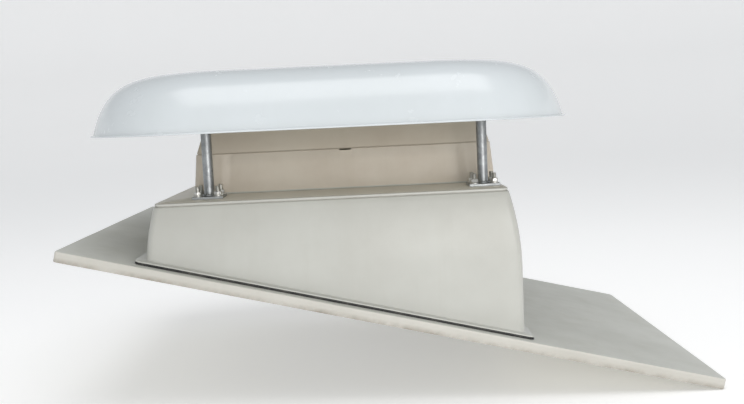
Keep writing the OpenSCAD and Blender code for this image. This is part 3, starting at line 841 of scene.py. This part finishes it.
def hex_body(centre, z0, z1, flats, bore, turn):
    """Hexagon with both faces chamfered to a circle, and a bore when it is a nut."""
    steps = 48
    apothem = flats / 2
    chamfer = apothem * (1 / math.cos(math.pi / 6) - 1) * math.tan(math.pi / 6) * 1.3
    face_r, no_limit = apothem * 0.96, 1.0

    def hex_radius(a):
        local = (a - turn) % (math.pi / 3) - math.pi / 6
        return apothem / math.cos(local)

    rings = []
    for z, limit in ((z0, face_r), (z0 + chamfer * 0.15, apothem), (z0 + chamfer, no_limit),
                     (z1 - chamfer, no_limit), (z1 - chamfer * 0.15, apothem), (z1, face_r)):
        made = []
        for i in range(steps):
            a = TAU * i / steps
            r = min(hex_radius(a), limit)
            made.append((centre[0] + r * math.cos(a), centre[1] + r * math.sin(a), z))
        rings.append(made)
    if not bore:
        return capped(rings)
    countersink, depth = bore * 1.08, bore * 0.10
    for z, r in ((z1, countersink), (z1 - depth, bore), (z0 + depth, bore), (z0, countersink)):
        rings.append([(centre[0] + r * math.cos(TAU * i / steps),
                       centre[1] + r * math.sin(TAU * i / steps), z) for i in range(steps)])
    return loft(rings)


def threaded_end(centre, z0, z1, radius, pitch):
    """Stud end with a rolled thread that runs out in a chamfer."""
    steps, rows_per_turn = 24, 6
    rows = int((z1 - z0) / pitch * rows_per_turn)
    chamfer = 0.0012
    rings = []
    for k in range(rows + 1):
        z = z0 + (z1 - z0) * k / rows
        made = []
        for i in range(steps):
            a = TAU * i / steps
            phase = (z / pitch - i / steps) % 1.0
            depth = 0.61 * pitch * abs(2 * phase - 1)
            r = min(radius - depth * 0.85, radius - chamfer + z1 - z)
            made.append((centre[0] + r * math.cos(a), centre[1] + r * math.sin(a), z))
        rings.append(made)
    return capped(rings)


def lathe(centre, profile):
    """Closed ring turned round a vertical axis from (radius, height) points."""
    steps = 40
    return loft([[(centre[0] + r * math.cos(TAU * i / steps),
                   centre[1] + r * math.sin(TAU * i / steps), z) for i in range(steps)]
                 for r, z in profile])


def gather(parts):
    """Several bodies as one list of vertices and faces."""
    verts, faces = [], []
    for v, f in parts:
        base = len(verts)
        verts += v
        faces += [tuple(base + i for i in face) for face in f]
    return verts, faces


def build_nuts():
    rng = random.Random(11)
    parts = [hex_body(middle(lo, hi), lo.z, hi.z, M12["flats"], M12_NUT_BORE,
                      rng.uniform(0, math.pi / 3)) for lo, hi in islands("foot_nuts")]
    return new_object("foot_nut_set", *gather(parts), [ZINC], slot="zinc",
                      replaces=["foot_nuts"], smooth=28)


def build_washers(node, name, hole):
    edge = 0.0005
    parts = []
    for lo, hi in islands(node):
        r = (hi.x - lo.x) / 2
        parts.append(lathe(middle(lo, hi), [
            (hole, lo.z), (r - edge, lo.z), (r, lo.z + edge),
            (r, hi.z - edge), (r - edge, hi.z), (hole, hi.z)]))
    return new_object(name, *gather(parts), [ZINC], slot="zinc", replaces=[node], smooth=28)


def build_bolts(node, name, size, seed):
    """Hexagon bolts, head down, with a threaded end above."""
    rng = random.Random(seed)
    parts = []
    for lo, hi in islands(node):
        c = middle(lo, hi)
        parts.append(hex_body(c, lo.z, lo.z + size["head"], size["flats"], 0.0,
                              rng.uniform(0, math.pi / 3)))
        parts.append(threaded_end(c, lo.z + size["head"] * 0.9, hi.z, size["radius"],
                                  size["pitch"]))
    return new_object(name, *gather(parts), [ZINC], slot="zinc", replaces=[node], smooth=28)


def build_welds():
    """Rippled fillet welds at the foot and the head of every post."""
    steps, around, ripples = 8, 132, 17
    leg = 0.0022    # from the post and the plate to the middle of the bead
    rng = random.Random(5)
    parts = []
    for node in ("stanchion_front_left", "stanchion_front_right", "stanchion_rear_left",
                 "stanchion_rear_right"):
        lo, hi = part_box(node)
        c = middle(lo, hi)
        for z, way in ((lo.z + PLATE_T, 1), (hi.z - PLATE_T, -1)):
            phase = rng.uniform(0, TAU)
            rings = []
            for k in range(steps):
                b = TAU * k / steps
                made = []
                for i in range(around):
                    a = TAU * i / around
                    ripple = 0.00035 * abs(math.sin(a * ripples + phase))
                    wander = 0.0004 * noise.noise(Vector((3 * math.cos(a), 3 * math.sin(a),
                                                          phase)))
                    size = 0.0026 + ripple + wander
                    r = POST_R + leg + size * math.cos(b)
                    h = leg + size * math.sin(b)
                    made.append((c[0] + r * math.cos(a), c[1] + r * math.sin(a),
                                 z + way * max(0.0, h)))
                rings.append(made)
            parts.append(loft(rings))
    return new_object("post_welds", *gather(parts), [GALVANISED], slot="galvanised", smooth=60)


build_cap()
build_upstand()
build_deck()
build_joint_bead()
build_throat()
build_sheet()
build_seal_bead()
build_throat_fillet()
build_nuts()
build_washers("foot_washers", "foot_washer_set", M12_HOLE)
build_washers("head_washers", "head_washer_set", M10_HOLE)
build_bolts("foot_bolts", "foot_bolt_set", M12, seed=21)
build_bolts("head_bolts", "head_bolt_set", M10, seed=22)
build_welds()


# ---- Carried-over CAD nodes ----

# Material, and the width that sharp edges are rounded by
FINISHES = {
    "backing_plates": (GALVANISED, 0.0006),
    "stanchion_front_left": (GALVANISED, 0.0006), "stanchion_front_right": (GALVANISED, 0.0006),
    "stanchion_rear_left": (GALVANISED, 0.0006), "stanchion_rear_right": (GALVANISED, 0.0006),
    "cap_pads": (LAMINATE, 0.0), "cap_rib_front": (LAMINATE, 0.0), "cap_rib_rear": (LAMINATE, 0.0),
    "mesh_frame": (ALUMINIUM, 0.0004), "mesh_screen": (GALVANISED, 0.0),
    "mesh_screws": (ZINC, 0.0003), "damper_frame": (ALUMINIUM, 0.0003),
    "seat_seal": (RUBBER, 0.0), "damper_spindle": (ZINC, 0.0), "spindle_bushes": (NYLON, 0.0),
    "flap_stop": (ALUMINIUM, 0.0), "damper_screws": (ZINC, 0.0003),
    "flap_front": (ALUMINIUM, 0.0003), "flap_rear": (ALUMINIUM, 0.0003),
}
for name, (finish, edge) in FINISHES.items():
    obj = NODES[name]
    obj.data.materials.clear()
    obj.data.materials.append(finish)
    weld = obj.modifiers.new("weld", "WELD")
    weld.merge_threshold = 1e-6
    if edge:
        bevel = obj.modifiers.new("edge", "BEVEL")
        bevel.width = edge
        bevel.segments = 2
        bevel.limit_method = "ANGLE"
        bevel.angle_limit = math.radians(40)
        bevel.harden_normals = False


# ---- Floor, light and camera ----

def build_floor():
    """Plain pale floor that curves up a long way off."""
    m, nt, shader, co = start_material("studio_floor")
    cloud = texture(nt, "ShaderNodeTexNoise", co, 0.7, Detail=2.0)
    nt.links.new(mix(nt, cloud.outputs["Fac"], (0.90, 0.90, 0.90), (0.88, 0.88, 0.88)),
                 shader.inputs["Base Color"])
    shader.inputs["Roughness"].default_value = 0.9
    shader.inputs["Emission Color"].default_value = (1, 1, 1, 1)
    shader.inputs["Emission Strength"].default_value = 0.28
    z = CAD_BOUNDS[0].z
    around = 96
    rings = []
    for r, h in ((0.02, 0.0), (2.0, 0.0), (5.0, 0.0), (9.0, 0.0), (14.0, 0.05), (18.0, 0.5),
                 (21.0, 1.8), (22.5, 4.0), (23.0, 8.0)):
        rings.append([(r * math.cos(TAU * i / around), r * math.sin(TAU * i / around), z + h)
                      for i in range(around)])
    verts, faces = loft(rings, closed=False)
    faces.append(tuple(range(around)))
    mesh = bpy.data.meshes.new("floor")
    mesh.from_pydata(verts, [], faces)
    mesh.materials.append(m)
    mesh.polygons.foreach_set("use_smooth", [True] * len(mesh.polygons))
    floor = bpy.data.objects.new("floor", mesh)
    bpy.context.scene.collection.objects.link(floor)


def area_light(name, place, target, size, power, colour=(1.0, 1.0, 1.0)):
    """Soft rectangular light that the camera does not see."""
    data = bpy.data.lights.new(name, "AREA")
    data.shape = "RECTANGLE"
    data.size, data.size_y = size
    data.energy = power
    data.color = colour
    obj = bpy.data.objects.new(name, data)
    obj.visible_camera = False
    obj.location = place
    obj.rotation_mode = "QUATERNION"
    obj.rotation_quaternion = (Vector(target) - Vector(place)).to_track_quat("-Z", "Y")
    bpy.context.scene.collection.objects.link(obj)


def set_world(colour, strength):
    world = bpy.data.worlds.new("studio")
    bpy.context.scene.world = world
    world.use_nodes = True
    back = world.node_tree.nodes["Background"]
    back.inputs["Color"].default_value = (*colour, 1)
    back.inputs["Strength"].default_value = strength


def set_camera():
    """The photograph's viewpoint, found by matching the CAD's own corners to it."""
    place = Vector((0.08358, -2.67174, 0.47401))
    yaw, pitch, roll = 0.008, 0.102, -0.047
    ahead = Vector((math.sin(yaw) * math.cos(pitch), math.cos(yaw) * math.cos(pitch),
                    -math.sin(pitch)))
    right = Vector((math.cos(yaw), -math.sin(yaw), 0.0))
    up = right.cross(ahead)
    right_r = right * math.cos(roll) + up * math.sin(roll)
    up_r = up * math.cos(roll) - right * math.sin(roll)
    data = bpy.data.cameras.new("camera")
    data.lens = 43.31
    data.sensor_width = 36.0
    data.clip_end = 100.0
    camera = bpy.data.objects.new("camera", data)
    camera.matrix_world = Matrix((
        (right_r.x, up_r.x, -ahead.x, place.x),
        (right_r.y, up_r.y, -ahead.y, place.y),
        (right_r.z, up_r.z, -ahead.z, place.z),
        (0, 0, 0, 1)))
    bpy.context.scene.collection.objects.link(camera)
    bpy.context.scene.camera = camera


build_floor()
set_camera()
set_world(colour=(0.95, 0.975, 1.0), strength=0.46)
area_light("key", place=(0.3, -1.3, 4.6), target=(0.0, -0.1, 0.3), size=(4.4, 3.2), power=92)
area_light("front_fill", place=(1.7, -5.2, 0.8), target=(0.1, 0.0, 0.2), size=(3.4, 1.8),
           power=92, colour=(1.0, 0.975, 0.93))
bpy.context.scene.view_settings.view_transform = "Standard"
